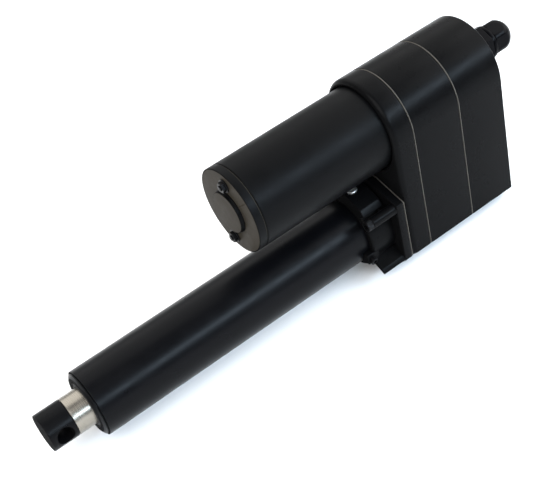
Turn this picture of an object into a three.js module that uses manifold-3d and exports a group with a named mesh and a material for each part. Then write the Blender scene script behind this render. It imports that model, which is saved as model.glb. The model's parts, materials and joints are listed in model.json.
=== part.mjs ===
// Linear actuator: a direct-current motor, lying above an extension tube, drives a lead screw
// through two gear pairs. The screw pushes a nut and an extension rod out of the tube.
//
// Units are millimetres. X runs forward along the rod, Z up from the screw axis to the motor axis,
// Y to the left. The origin is the centre of the rear clevis pin, on the screw axis.
// The pose is the retracted one.

import * as THREE from "three";
import { mergeVertices } from "three/addons/utils/BufferGeometryUtils.js";
import Module from "manifold-3d";

const wasm = await Module();
wasm.setup();

// ---------------------------------------------------------------- driving dimensions

const GAP = 0.3; // between two pieces that touch
const FINE = 40; // sides of the large round pieces
const ROUND = 24; // sides of the middle-sized ones
const SMALL = 12; // sides of screws and pins

const STROKE = 150;
const ROD_TIP = 401; // X of the rod's front face, retracted
const ROD_HOLE_X = 390.6;
const PIN_R = 6.5; // both cross holes take a 13 mm pin

const TUBE_R = 25; // outer tube, 50 mm
const TUBE_WALL = 4;
const ROD_R = 14; // extension rod, 28 mm
const ROD_BORE_R = 10.8;
const END_CAP_REAR = 381.7; // where the black end piece of the rod begins
const TUBE_FRONT = 365.2;

const MOTOR_Z = 76; // motor axis above the screw axis
const MOTOR_R = 32.5;
const MOTOR_WALL = 2.5;
const MOTOR_FRONT = 224.7; // face of the motor's end cap
const MOTOR_SEAT = 106.5; // floor of the round pocket that the motor stands in
const MOTOR_SEAT_R = 34;
const MOTOR_SHAFT_R = 4;
const MOTOR_SCREW_R = 23.3; // radius of the two end cap screws
const MOTOR_SCREW_TILT = 0.108; // radians that their line leans from upright

const HOUSING_R = 37.5; // top of the gear housing, around the motor axis; also its half width
const CORNER_Z = -23; // lower edge of the flat sides
const FLOOR_Z = -33; // underside
const FLOOR_HALF = 27;
const HOUSING_REAR = 9.3;
const HOUSING_FLOOR = HOUSING_REAR + 5; // inner face of the rear wall
const SEAM_REAR = 50.5; // gasket between rear cover and gear case
const SEAM_FRONT = 92.7; // gasket between gear case and front plate
const HOUSING_FRONT = 110.5;
const GASKET = 0.6;
const WALL = 3.2;
const RIM = 4.5; // rounded front rim of the front plate

const BRACKET_REAR = HOUSING_FRONT + GASKET + 2 * GAP;
const FLANGE_FRONT = 118;
const COLLAR_FRONT = 138.5;
const COLLAR_R = 29.8;

const MODULE = 1.6; // gear tooth module
const PINION_TEETH = 10;
const WHEEL_TEETH = 30;
const STEP_TEETH = 20;
const OUTPUT_TEETH = 35;
const IDLER_Z = MODULE * (STEP_TEETH + OUTPUT_TEETH) / 2; // 44 mm, so 32 mm below the motor axis

const PINION = [79, 89]; // X range of each gear
const WHEEL = [80.3, 88.3];
const STEP_REAR = 58;
const OUTPUT_GEAR = [60, 78];
const IDLER_PIN_R = 4;

const LEAD = 10; // screw lead
const SCREW_MAJOR_R = 9.5;
const SCREW_CORE_R = 7.8;
const JOURNAL_R = 8; // plain parts of the screw, in its bearings
const TAIL_R = 6; // plain front end of the screw, with its guide washer
const TAIL_END = 328;
const NUT_REAR = 124;
const NUT_FRONT = 150;
const NUT_R = 17.6;
const RAIL_TOP = 20; // underside of the tube's wall, where the switch rail lies
const RAIL_THICKNESS = 1.4;

// X range and outer radius of each bearing
const THRUST_BEARING = { x: [24.6, 36], radius: 15.7 };
const SCREW_FRONT_BEARING = { x: [95.3, 106.3], radius: 17.4 };
const MOTOR_FRONT_BEARING = { x: [101.6, 110], radius: 10.7 };
const MOTOR_REAR_BEARING = { x: [213.2, 219.3], radius: 9.6 };

const GLAND_Z = 81.2; // cable gland axis above the screw axis
const GLAND_SEAT = -1.5; // rear face of the boss under it
const GLAND_BOSS_R = 14.5;
const GLAND_THREAD_R = 8;
const GLAND_BORE_R = 4.5;
const GLAND_CAP_R = 12.4;
const GLAND_CORNER = THREE.MathUtils.degToRad(36.5); // where a corner of its hexagons points

// [Y, Z] of the screws that hold the tube bracket and of the bolts through the housing
const BRACKET_SCREWS = { upper: [33, 24.3], lower: [24.5, -26.5] };
const HOUSING_BOLTS = { top: [22, 98], middle: [32, 39], bottom: [31, -22] };
const BOLT_R = 2.5;
const BOLT_HOLE_R = BOLT_R + GAP;
const BOLT_HEAD = { radius: 4.2, length: 4.5, depth: 5.4 }; // depth of the counterbores behind
const BRACKET_HEAD = { radius: 4.1, length: 4.8 };
const CLAMP_SCREW = { x: 131.4, y: 6, top: 35.5, radius: 2, headR: 3.9 };
const LOCK_SCREW = { x: COLLAR_FRONT + 2.6, angle: -0.33, seat: 29.5, radius: 1.8, headR: 3 };

// ---------------------------------------------------------------- materials

function metal(color, roughness) {
  return new THREE.MeshStandardMaterial({ color, roughness, metalness: 1 });
}

function plastic(color, roughness) {
  return new THREE.MeshStandardMaterial({ color, roughness, metalness: 0 });
}

const materials = {
  black_paint: plastic(0x15161a, 0.35),
  steel: metal(0xc9c6bf, 0.25),
  zinc_screw: metal(0x9a9a98, 0.35),
  black_screw: metal(0x1c1c1e, 0.45),
  bronze: metal(0x9a6b3c, 0.4),
  copper: metal(0xb0643c, 0.4),
  nylon: plastic(0xd9d4c6, 0.6),
  black_plastic: plastic(0x141416, 0.5),
  rubber: plastic(0x18181a, 0.85),
  gasket_paper: plastic(0xb9a78c, 0.9),
  ferrite: plastic(0x3a3a3d, 0.7),
};

// ---------------------------------------------------------------- shape helpers

/** A closed geometry as a manifold solid, turned the right way out. */
function solid(geometry) {
  const bare = geometry.clone();
  bare.deleteAttribute("normal");
  bare.deleteAttribute("uv");
  const merged = mergeVertices(bare, 1e-4);
  const index = merged.index.array;
  const triangles = [];
  for (let i = 0; i < index.length; i += 3) {
    const [a, b, c] = [index[i], index[i + 1], index[i + 2]];
    if (a !== b && b !== c && a !== c) triangles.push(a, b, c);
  }
  const points = merged.attributes.position.array;
  if (signedVolume(points, triangles) < 0) triangles.reverse();
  return new wasm.Manifold(new wasm.Mesh({
    numProp: 3,
    vertProperties: Float32Array.from(points),
    triVerts: Uint32Array.from(triangles),
  }));
}

function signedVolume(points, triangles) {
  const [a, b, c] = [new THREE.Vector3(), new THREE.Vector3(), new THREE.Vector3()];
  let sum = 0;
  for (let i = 0; i < triangles.length; i += 3) {
    a.fromArray(points, 3 * triangles[i]);
    b.fromArray(points, 3 * triangles[i + 1]);
    c.fromArray(points, 3 * triangles[i + 2]);
    sum += a.dot(b.cross(c));
  }
  return sum / 6;
}

/** The solid's triangles as a geometry with flat shading normals. */
function geometryOf(manifold) {
  const mesh = manifold.getMesh();
  const geometry = new THREE.BufferGeometry();
  geometry.setAttribute("position", new THREE.BufferAttribute(Float32Array.from(mesh.vertProperties), 3));
  geometry.setIndex([...mesh.triVerts]);
  geometry.computeVertexNormals();
  return geometry;
}

function join(first, ...others) {
  return others.reduce((sum, other) => sum.add(other), first);
}

function cut(first, ...others) {
  return others.reduce((rest, other) => rest.subtract(other), first);
}

// Shapes are drawn in the Y-Z plane and extruded along X; round pieces turn about the X axis.
const DRAWN_TO_WORLD = new THREE.Matrix4().makeBasis(
  new THREE.Vector3(0, 1, 0), new THREE.Vector3(0, 0, 1), new THREE.Vector3(1, 0, 0));
const TURNED_TO_WORLD = new THREE.Matrix4().makeBasis(
  new THREE.Vector3(0, 0, 1), new THREE.Vector3(1, 0, 0), new THREE.Vector3(0, 1, 0));

/** Prism of a Y-Z outline from x0 to x1, with optional holes. */
function prism(outline, x0, x1, holes = []) {
  const shape = new THREE.Shape(outline.map(([y, z]) => new THREE.Vector2(y, z)));
  shape.holes = holes.map((hole) => new THREE.Path(hole.map(([y, z]) => new THREE.Vector2(y, z))));
  const geometry = new THREE.ExtrudeGeometry(shape, { depth: x1 - x0, bevelEnabled: false });
  geometry.applyMatrix4(DRAWN_TO_WORLD).translate(x0, 0, 0);
  return solid(geometry);
}

/** Solid of revolution about the line (y, z): profile is a closed list of [x, radius]. */
function turned(profile, sides = FINE, y = 0, z = 0) {
  const closed = profile[0][1] === 0 ? profile : [...profile, profile[0]];
  const points = closed.map(([x, r]) => new THREE.Vector2(r, x));
  const geometry = new THREE.LatheGeometry(points, sides);
  geometry.applyMatrix4(TURNED_TO_WORLD).translate(0, y, z);
  return solid(geometry);
}

function rod(x0, x1, radius, sides = ROUND, y = 0, z = 0) {
  return turned([[x0, 0], [x0, radius], [x1, radius], [x1, 0]], sides, y, z);
}

function ring(x0, x1, outer, inner, sides = ROUND, y = 0, z = 0) {
  return turned([[x0, inner], [x0, outer], [x1, outer], [x1, inner]], sides, y, z);
}

function block(x0, x1, y0, y1, z0, z1) {
  const geometry = new THREE.BoxGeometry(x1 - x0, y1 - y0, z1 - z0);
  geometry.translate((x0 + x1) / 2, (y0 + y1) / 2, (z0 + z1) / 2);
  return solid(geometry);
}

/** Cylinder along Y, for cross holes and clevis eyes. */
function crossRod(x, z, y0, y1, radius, sides = 24) {
  const geometry = new THREE.CylinderGeometry(radius, radius, y1 - y0, sides);
  geometry.translate(x, (y0 + y1) / 2, z);
  return solid(geometry);
}

/** Upright cylinder, for the clamp screw. */
function uprightRod(x, y, z0, z1, radius, sides = SMALL) {
  const geometry = new THREE.CylinderGeometry(radius, radius, z1 - z0, sides);
  geometry.rotateX(Math.PI / 2).translate(x, y, (z0 + z1) / 2);
  return solid(geometry);
}

/** Cylinder along any direction in the Y-Z plane, from radius r0 to r1 off the screw axis. */
function radialRod(x, angle, r0, r1, radius, sides = SMALL) {
  const geometry = new THREE.CylinderGeometry(radius, radius, r1 - r0, sides);
  geometry.translate(0, (r0 + r1) / 2, 0).rotateX(angle).translate(x, 0, 0);
  return solid(geometry);
}

/** Points of an arc in the Y-Z plane, from angle a0 to a1. */
function arc(y, z, radius, a0, a1, steps) {
  const points = [];
  for (let i = 0; i <= steps; i++) {
    const angle = a0 + (a1 - a0) * i / steps;
    points.push([y + radius * Math.cos(angle), z + radius * Math.sin(angle)]);
  }
  return points;
}

function polygonRing(y, z, radius, sides, turn = 0) {
  return arc(y, z, radius, turn, turn + 2 * Math.PI * (sides - 1) / sides, sides - 1);
}

/** Both sides of the mid-plane: [y, z] and its mirror image. */
function mirrored(points) {
  return [...points, ...points.map(([y, z]) => [-y, z]).reverse()];
}

// ---------------------------------------------------------------- outlines

/** Housing section, moved in by an inset: round over the motor, flat sides, chamfered foot. */
function housingOutline(inset = 0) {
  const slope = inset * Math.tan(Math.PI / 8);
  const right = [
    [FLOOR_HALF - slope, FLOOR_Z + inset],
    [HOUSING_R - inset, CORNER_Z + slope],
  ];
  const dome = arc(0, MOTOR_Z, HOUSING_R - inset, 0, Math.PI / 2, FINE / 4).slice(0, -1);
  const top = [0, MOTOR_Z + HOUSING_R - inset];
  const half = [...right, ...dome];
  return [...half, top, ...half.map(([y, z]) => [-y, z]).reverse()];
}

/** Spur gear with involute flanks; one tooth points along toothAngle. */
function gearOutline(teeth, z, toothAngle) {
  const pressure = THREE.MathUtils.degToRad(20);
  const involute = (angle) => Math.tan(angle) - angle;
  const pitchR = MODULE * teeth / 2;
  const baseR = pitchR * Math.cos(pressure);
  const thinning = 0.8; // tooth thickness as a share of the nominal, for running clearance
  const halfAt = (radius) => thinning * Math.PI / (2 * teeth)
    + involute(pressure) - involute(Math.acos(Math.min(1, baseR / radius)));
  const radii = [pitchR - 1.15 * MODULE, pitchR + 0.85 * MODULE];
  const points = [];
  for (let i = 0; i < teeth; i++) {
    const middle = toothAngle + 2 * Math.PI * i / teeth;
    const rising = radii.map((radius) => [radius, middle - halfAt(radius)]);
    const falling = radii.map((radius) => [radius, middle + halfAt(radius)]).reverse();
    for (const [radius, angle] of [...rising, ...falling]) {
      points.push([radius * Math.cos(angle), z + radius * Math.sin(angle)]);
    }
  }
  return points;
}

/** Right-handed trapezoidal thread with its core, from x0 forwards. */
function thread(x0, length, core, crest, lead, sides) {
  const turns = Math.floor(length / lead) - 1;
  const profile = [[0, core], [0.3 * lead, core], [0.45 * lead, crest], [0.85 * lead, crest]];
  const columns = turns * sides;
  const points = [];
  for (let i = 0; i <= columns + sides; i++) {
    const angle = 2 * Math.PI * i / sides;
    for (const [along, radius] of profile) {
      const x = x0 + lead * i / sides + along;
      points.push(x, radius * Math.cos(angle), radius * Math.sin(angle));
    }
  }
  const at = (i, j) => j < 4 ? 4 * i + j : 4 * (i + sides);
  const triangles = [];
  const quad = (a, b, c, d) => triangles.push(a, b, c, a, c, d);
  for (let i = 0; i < columns; i++) {
    for (let j = 0; j < 4; j++) quad(at(i, j), at(i + 1, j), at(i + 1, j + 1), at(i, j + 1));
  }
  const startLoop = [];
  for (let i = 0; i <= sides; i++) startLoop.push(at(i, 0));
  startLoop.push(at(0, 3), at(0, 2), at(0, 1));
  const endLoop = [];
  for (let i = columns; i <= columns + sides; i++) endLoop.push(at(i, 0));
  endLoop.push(at(columns, 3), at(columns, 2), at(columns, 1));
  for (const [loop, x, flip] of [
    [startLoop, x0 + lead / 2, true], [endLoop, x0 + lead * (turns + 0.5), false],
  ]) {
    const centre = points.length / 3;
    points.push(x, 0, 0);
    loop.forEach((vertex, k) => {
      const next = loop[(k + 1) % loop.length];
      if (flip) triangles.push(centre, next, vertex);
      else triangles.push(centre, vertex, next);
    });
  }
  const geometry = new THREE.BufferGeometry();
  geometry.setAttribute("position", new THREE.Float32BufferAttribute(points, 3));
  geometry.setIndex(triangles);
  return solid(geometry);
}

/** Cap screw pointing rearwards: head from x forward, shank behind it, hexagon socket. */
function bracketScrew(x, y, z, shankLength) {
  const { radius, length } = BRACKET_HEAD;
  const socket = prism(polygonRing(y, z, 0.5 * radius, 6), x + 0.45 * length, x + length + 1);
  const body = join(
    rod(x, x + length, radius, SMALL, y, z),
    rod(x - shankLength, x + 1, BOLT_R, SMALL, y, z));
  return cut(body, socket);
}

/** Bolt pointing forwards, with its head sunk in the rear cover. */
function housingBolt(y, z) {
  const headEnd = HOUSING_REAR + BOLT_HEAD.depth - GAP;
  const socket = prism(polygonRing(y, z, 0.5 * BOLT_HEAD.radius, 6), HOUSING_REAR - 1, headEnd - 2);
  const body = join(
    rod(headEnd - BOLT_HEAD.length, headEnd, BOLT_HEAD.radius, SMALL, y, z),
    rod(headEnd - 1, headEnd + 87, BOLT_R, SMALL, y, z));
  return cut(body, socket);
}

// ---------------------------------------------------------------- the assembly

const actuator = new THREE.Group();
actuator.name = "linear_actuator";

function add(name, manifold, material) {
  const mesh = new THREE.Mesh(geometryOf(manifold), materials[material]);
  mesh.name = name;
  actuator.add(mesh);
}

// ---- tube and rod

function addTube() {
  const inner = TUBE_R - TUBE_WALL;
  add("outer_tube", ring(HOUSING_FRONT + GAP, TUBE_FRONT, TUBE_R, inner), "black_paint");

  // Front guide: a spigot inside the tube, a flange over its end and a chamfered nose.
  const nose = TUBE_FRONT + GAP;
  const bore = ROD_R + GAP;
  const spigot = inner - GAP;
  const seat = bore + 3;
  add("front_guide", turned([
    [TUBE_FRONT - 22, bore], [TUBE_FRONT - 22, spigot], [nose, spigot], [nose, TUBE_R - 1.5],
    [nose + 0.8, TUBE_R - 1.5], [nose + 2.2, TUBE_R - 4], [nose + 2.2, seat], [nose - 4, seat],
    [nose - 4, bore],
  ]), "black_paint");
  add("rod_wiper_seal", turned([
    [nose - 4 + GAP, bore], [nose - 4 + GAP, seat - GAP], [nose + 1.6, seat - GAP],
    [nose + 2.2, bore],
  ]), "rubber");
}

function addRod() {
  const joint = END_CAP_REAR;
  const spigotEnd = joint - 20;
  add("extension_rod", turned([
    [NUT_FRONT + GAP, ROD_BORE_R], [NUT_FRONT + GAP, ROD_R],
    [joint - GAP, ROD_R], [joint - GAP, ROD_BORE_R],
  ], FINE), "steel");

  const cap = turned([
    [spigotEnd, 0], [spigotEnd, ROD_BORE_R - GAP], [joint, ROD_BORE_R - GAP], [joint, ROD_R],
    [ROD_TIP - 0.8, ROD_R], [ROD_TIP, ROD_R - 0.8], [ROD_TIP, 0],
  ]);
  const reach = ROD_R + 1;
  add("rod_end_cap", cut(cap, crossRod(ROD_HOLE_X, 0, -reach, reach, PIN_R)), "black_paint");

  // Bronze nut and its guide ring. A flat along the top clears the limit switches.
  const flat = block(NUT_REAR - 1, NUT_FRONT + 1, -5, 5, 14.6, 30);
  const bore = SCREW_MAJOR_R + GAP;
  const middle = NUT_REAR + 9;
  const nut = turned([
    [NUT_REAR, bore], [NUT_REAR, NUT_R], [NUT_FRONT, NUT_R], [NUT_FRONT, bore],
  ]);
  add("drive_nut", cut(nut, flat), "bronze");
  const slide = TUBE_R - TUBE_WALL - GAP;
  add("nut_guide_ring", cut(ring(middle, middle + 8, slide, NUT_R + GAP), flat), "nylon");
}

function addLimitSwitches() {
  const railBottom = RAIL_TOP - RAIL_THICKNESS;
  add("switch_rail", block(NUT_REAR, 330, -4, 4, railBottom, RAIL_TOP), "nylon");
  for (const [name, x] of [["retract", NUT_FRONT + 3], ["extend", NUT_FRONT + STROKE + 4]]) {
    add(`limit_switch_${name}`, block(x, x + 10, -3, 3, 15, railBottom - GAP), "black_plastic");
  }
}

// ---- screw and gears

function addScrew() {
  const shoulder = OUTPUT_GEAR[0] - GAP;
  const shaft = turned([
    [22, 0], [22, JOURNAL_R - 0.5], [22.5, JOURNAL_R], [54, JOURNAL_R], [54, 11], [shoulder, 11],
    [shoulder, JOURNAL_R], [112, JOURNAL_R], [112, 0],
  ], ROUND);
  const tail = rod(TAIL_END - 16, TAIL_END, TAIL_R, ROUND);
  add("lead_screw", join(shaft, thread(104, 215, SCREW_CORE_R, SCREW_MAJOR_R, LEAD, 8), tail), "steel");
  add("screw_tip_washer", ring(TAIL_END - 4, TAIL_END - 1, ROD_BORE_R - GAP, TAIL_R + GAP), "nylon");

  const bore = JOURNAL_R + GAP;
  const gear = prism(gearOutline(OUTPUT_TEETH, 0, -Math.PI / 2), ...OUTPUT_GEAR,
    [polygonRing(0, 0, bore, ROUND).reverse()]);
  add("output_gear", gear, "steel");
  add("thrust_bearing", ring(...THRUST_BEARING.x, THRUST_BEARING.radius, bore), "steel");
  add("screw_lock_nut", cut(prism(polygonRing(0, 0, 13, 6), 40, 48), rod(39, 49, bore, ROUND)),
    "zinc_screw");
  add("screw_front_bearing", ring(...SCREW_FRONT_BEARING.x, SCREW_FRONT_BEARING.radius, bore), "steel");
}

function addIdler() {
  const bore = polygonRing(0, IDLER_Z, IDLER_PIN_R + GAP, SMALL).reverse();
  const wheel = prism(gearOutline(WHEEL_TEETH, IDLER_Z, Math.PI / 2 + Math.PI / WHEEL_TEETH),
    ...WHEEL, [bore]);
  const step = prism(gearOutline(STEP_TEETH, IDLER_Z, -Math.PI / 2), STEP_REAR, WHEEL[0] + 0.5, [bore]);
  add("idler_gear", join(wheel, step), "nylon");
  add("idler_pin", rod(36, 102, IDLER_PIN_R, SMALL, 0, IDLER_Z), "steel");
}

// ---- motor

function addMotor() {
  const z = MOTOR_Z;
  const inner = MOTOR_R - MOTOR_WALL;
  const capRear = MOTOR_FRONT - 6;
  const canRear = MOTOR_SEAT + GAP;
  add("motor_can", turned([
    [canRear, inner], [canRear, MOTOR_R], [capRear - 1.2, MOTOR_R], [capRear - 0.4, MOTOR_R - 0.8],
    [capRear - 0.4, inner],
  ], FINE, 0, z), "black_paint");

  const screwAt = (side) => [
    side * MOTOR_SCREW_R * Math.sin(MOTOR_SCREW_TILT),
    z + side * MOTOR_SCREW_R * Math.cos(MOTOR_SCREW_TILT),
  ];
  const cap = turned([
    [capRear - 6, 0], [capRear - 6, inner - GAP], [capRear, inner - GAP],
    [capRear, MOTOR_R], [MOTOR_FRONT - 1, MOTOR_R], [MOTOR_FRONT, MOTOR_R - 1],
    [MOTOR_FRONT, 16.4], [MOTOR_FRONT + 2.4, 15.6], [MOTOR_FRONT + 3, 15], [MOTOR_FRONT + 3, 0],
  ], FINE, 0, z);
  const pocket = rod(capRear - 7, capRear + 1, MOTOR_REAR_BEARING.radius + GAP, ROUND, 0, z);
  const screwR = 2;
  const holes = [1, -1].map((side) => (
    rod(capRear - 7, MOTOR_FRONT + 4, screwR + GAP, SMALL, ...screwAt(side))));
  add("motor_end_cap", cut(cap, pocket, ...holes), "black_paint");
  for (const [name, side] of [["top", 1], ["bottom", -1]]) {
    const [y, screwZ] = screwAt(side);
    const x = MOTOR_FRONT + GAP;
    const washer = rod(x, x + 1, 5, SMALL, y, screwZ);
    const hexagon = prism(polygonRing(y, screwZ, 4, 6), x + 0.9, x + 4.4);
    const shank = rod(x - 12, x + 0.5, screwR, SMALL, y, screwZ);
    add(`motor_screw_${name}`, join(washer, hexagon, shank), "black_screw");
  }

  for (const [name, turn] of [["left", 0], ["right", Math.PI]]) {
    const spread = THREE.MathUtils.degToRad(62);
    const outerArc = arc(0, z, inner - GAP, turn - spread, turn + spread, 16);
    const innerArc = arc(0, z, inner - 5.5, turn + spread, turn - spread, 16);
    add(`magnet_${name}`, prism([...outerArc, ...innerArc], 126, 190), "ferrite");
  }
  for (const [name, { x, radius }] of [["front", MOTOR_FRONT_BEARING], ["rear", MOTOR_REAR_BEARING]]) {
    add(`motor_${name}_bearing`, ring(...x, radius, MOTOR_SHAFT_R + GAP, ROUND, 0, z), "steel");
  }
  addRotor(z);
  addBrushes(z, inner - GAP);
}

function addRotor(z) {
  add("motor_shaft", rod(PINION[0] - 4, MOTOR_FRONT - 6, MOTOR_SHAFT_R, ROUND, 0, z), "steel");
  const slots = 12;
  const tooth = [[15, -0.11], [22, -0.2], [23.6, -0.2], [23.6, 0.2], [22, 0.2], [15, 0.11]];
  const core = [];
  for (let i = 0; i < slots; i++) {
    const middle = 2 * Math.PI * i / slots;
    for (const [radius, offset] of tooth) {
      core.push([radius * Math.cos(middle + offset), z + radius * Math.sin(middle + offset)]);
    }
  }
  const bore = polygonRing(0, z, MOTOR_SHAFT_R + GAP, ROUND).reverse();
  add("armature_core", prism(core, 130, 186, [bore]), "steel");
  add("commutator", ring(192, 206, 11, MOTOR_SHAFT_R + GAP, ROUND, 0, z), "copper");
  add("motor_pinion", prism(gearOutline(PINION_TEETH, z, -Math.PI / 2), ...PINION, [bore]), "steel");
}

function addBrushes(z, outer) {
  add("brush_plate", ring(207.2, 209.4, outer, 13, ROUND, 0, z), "nylon");
  for (const [name, side] of [["left", 1], ["right", -1]]) {
    const [y0, y1] = side > 0 ? [11.5, 20] : [-20, -11.5];
    add(`brush_${name}`, block(195, 206.8, y0, y1, z - 3.5, z + 3.5), "ferrite");
  }
}

// ---- housing

function bothSides([y, z]) {
  return [[y, z], [-y, z]];
}

const BOLT_PLACES = Object.entries(HOUSING_BOLTS).flatMap(([name, place]) => [
  [`${name}_left`, place], [`${name}_right`, [-place[0], place[1]]],
]);

/** Prism whose front edge is rounded in a few steps. */
function rimmedPlate(x0, x1, rim) {
  const steps = 2;
  let plate = prism(housingOutline(), x0, x1 - rim);
  for (let i = 0; i < steps; i++) {
    const angle = Math.PI / 2 * (i + 0.5) / steps;
    const start = x1 - rim + rim * Math.sin(Math.PI / 2 * i / steps);
    const end = x1 - rim + rim * Math.sin(Math.PI / 2 * (i + 1) / steps);
    plate = plate.add(prism(housingOutline(rim * (1 - Math.cos(angle))), start - 0.5, end));
  }
  return plate;
}

function boltHoles(x0, x1, radius = BOLT_HOLE_R) {
  return BOLT_PLACES.map(([, [y, z]]) => rod(x0, x1, radius, SMALL, y, z));
}

function bracketHoles(x0, x1) {
  return Object.values(BRACKET_SCREWS).flatMap(bothSides)
    .map(([y, z]) => rod(x0, x1, BOLT_HOLE_R, SMALL, y, z));
}

function boltBosses(x0, x1, radius) {
  return join(...BOLT_PLACES.map(([, [y, z]]) => rod(x0, x1, radius, SMALL, y, z)));
}

/** Space inside the housing walls. */
function cavity(x0, x1) {
  return prism(housingOutline(WALL), x0, x1);
}

const SEAM_HALF = GASKET / 2 + GAP; // from a seam's middle to the piece on either side

function addHousing() {
  addFrontPlate();
  addGearCase();
  addRearCover();
  for (const [name, x] of [["front", SEAM_FRONT], ["rear", SEAM_REAR]]) {
    const sheet = prism(housingOutline(), x - GASKET / 2, x + GASKET / 2);
    add(`gasket_${name}`, cut(sheet, cavity(x - 2, x + 2), ...boltHoles(x - 2, x + 2)), "gasket_paper");
  }
  for (const [name, [y, z]] of BOLT_PLACES) {
    add(`housing_bolt_${name}`, housingBolt(y, z), "black_screw");
  }
}

/** Front plate: bearing seats, the motor's pocket, blind holes for bolts and screws. */
function addFrontPlate() {
  const x0 = SEAM_FRONT + SEAM_HALF;
  const front = HOUSING_FRONT + 1;
  add("housing_front_plate", cut(rimmedPlate(x0, HOUSING_FRONT, RIM),
    rod(x0 - 1, SEAM_FRONT + 14, SCREW_FRONT_BEARING.radius + GAP, ROUND),
    rod(x0, front, 12, ROUND),
    rod(MOTOR_SEAT, front, MOTOR_SEAT_R, FINE, 0, MOTOR_Z),
    rod(101, front, MOTOR_FRONT_BEARING.radius + GAP, ROUND, 0, MOTOR_Z),
    rod(x0 - 1, front, 7, ROUND, 0, MOTOR_Z),
    rod(x0 - 1, 103, IDLER_PIN_R + GAP, SMALL, 0, IDLER_Z),
    ...boltHoles(x0 - 1, 104),
    ...bracketHoles(HOUSING_FRONT - 12, front)), "black_paint");
}

/** Gear case: a straight sleeve with a boss around each bolt. */
function addGearCase() {
  const [x0, x1] = [SEAM_REAR + SEAM_HALF, SEAM_FRONT - SEAM_HALF];
  const outside = prism(housingOutline(), x0, x1);
  const sleeve = cut(outside, cavity(x0 - 1, x1 + 1));
  add("gear_case", cut(join(sleeve, boltBosses(x0, x1, 5).intersect(outside)),
    ...boltHoles(x0 - 1, x1 + 1)), "black_paint");
}

/** Rear cover: closed at the back, with the gland boss, the clevis hole and the idler pin boss. */
function addRearCover() {
  const x1 = SEAM_REAR - SEAM_HALF;
  const rear = HOUSING_REAR - 1;
  const outside = prism(housingOutline(), HOUSING_REAR, x1);
  const shell = cut(outside, cavity(HOUSING_FLOOR, x1 + 1));
  const bosses = boltBosses(HOUSING_REAR + 1, x1, 6).intersect(outside);
  const glandBoss = rod(GLAND_SEAT, HOUSING_FLOOR + 2, GLAND_BOSS_R, ROUND, 0, GLAND_Z);
  const pinBoss = rod(HOUSING_FLOOR - 1, 40, 7, ROUND, 0, IDLER_Z);
  add("rear_cover", cut(join(shell, bosses, glandBoss, pinBoss),
    rod(GLAND_SEAT - 1, 30, GLAND_THREAD_R + GAP, ROUND, 0, GLAND_Z),
    block(rear, HOUSING_FLOOR + 1, -TONGUE_Y - GAP, TONGUE_Y + GAP, -TONGUE_Z - GAP, TONGUE_Z + GAP),
    rod(35.7, 45, IDLER_PIN_R + GAP, SMALL, 0, IDLER_Z),
    ...boltHoles(rear, x1 + 1),
    ...boltHoles(rear, HOUSING_REAR + BOLT_HEAD.depth, BOLT_HEAD.radius + GAP)), "black_paint");
}

// ---- tube bracket

const FLANGE_OUTLINE = mirrored([
  [FLOOR_HALF, FLOOR_Z], [HOUSING_R, CORNER_Z], [HOUSING_R, 28.3], [9, 37],
]);

function addBracketGasket() {
  const [x0, x1] = [HOUSING_FRONT + GAP, HOUSING_FRONT + GAP + GASKET];
  const sheet = prism(FLANGE_OUTLINE, x0, x1);
  add("gasket_bracket", cut(sheet, rod(x0 - 1, x1 + 1, TUBE_R + GAP, FINE),
    ...bracketHoles(x0 - 1, x1 + 1)), "gasket_paper");
}

function addBracket() {
  const x0 = BRACKET_REAR;
  const plate = prism(FLANGE_OUTLINE, x0, FLANGE_FRONT);
  const collar = turned([
    [x0, 0], [x0, COLLAR_R], [COLLAR_FRONT - 1.2, COLLAR_R], [COLLAR_FRONT, COLLAR_R - 1.2],
    [COLLAR_FRONT, 0],
  ]);
  const topBlock = prism(mirrored([[18, 20], [25, 24.8], [21.5, 29.8], [10, 35.5]]),
    120.5, COLLAR_FRONT);
  const [upperY, upperZ] = BRACKET_SCREWS.upper;
  const bosses = [1, -1].map((side) => rod(x0, COLLAR_FRONT, 4.2, SMALL, side * upperY, upperZ));
  const ties = [1, -1].map((side) => prism(
    [[side * 20, 17], [side * upperY, 20.2], [side * upperY, 24], [side * 20, 24]], x0, 124));
  // A sloping web runs from the collar to each lower corner, above a lower screw.
  const webs = [1, -1].map((side) => prism([
    [side * 24, -11.5], [side * 24, -15.5], [side * HOUSING_R, CORNER_Z], [side * HOUSING_R, -20.3],
  ], x0, COLLAR_FRONT));
  const lug = block(COLLAR_FRONT - 4, COLLAR_FRONT + 6, 20, LOCK_SCREW.seat, -13.5, -5);
  add("tube_bracket", cut(join(plate, collar, topBlock, ...bosses, ...ties, ...webs, lug),
    rod(x0 - 1, COLLAR_FRONT + 10, TUBE_R + GAP, FINE),
    uprightRod(CLAMP_SCREW.x, CLAMP_SCREW.y, 27.4, 45, CLAMP_SCREW.radius + GAP),
    radialRod(LOCK_SCREW.x, LOCK_SCREW.angle, 24, 40, LOCK_SCREW.radius + GAP),
    ...bracketHoles(x0 - 1, COLLAR_FRONT + 1)), "black_paint");

  const [lowerY, lowerZ] = BRACKET_SCREWS.lower;
  for (const [side, sign] of [["left", 1], ["right", -1]]) {
    const upper = bracketScrew(COLLAR_FRONT + GAP, sign * upperY, upperZ, 39);
    const lower = bracketScrew(FLANGE_FRONT + GAP, sign * lowerY, lowerZ, 18.5);
    add(`bracket_screw_upper_${side}`, upper, "black_screw");
    add(`bracket_screw_lower_${side}`, lower, "black_screw");
  }
  addClampScrews();
}

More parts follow.
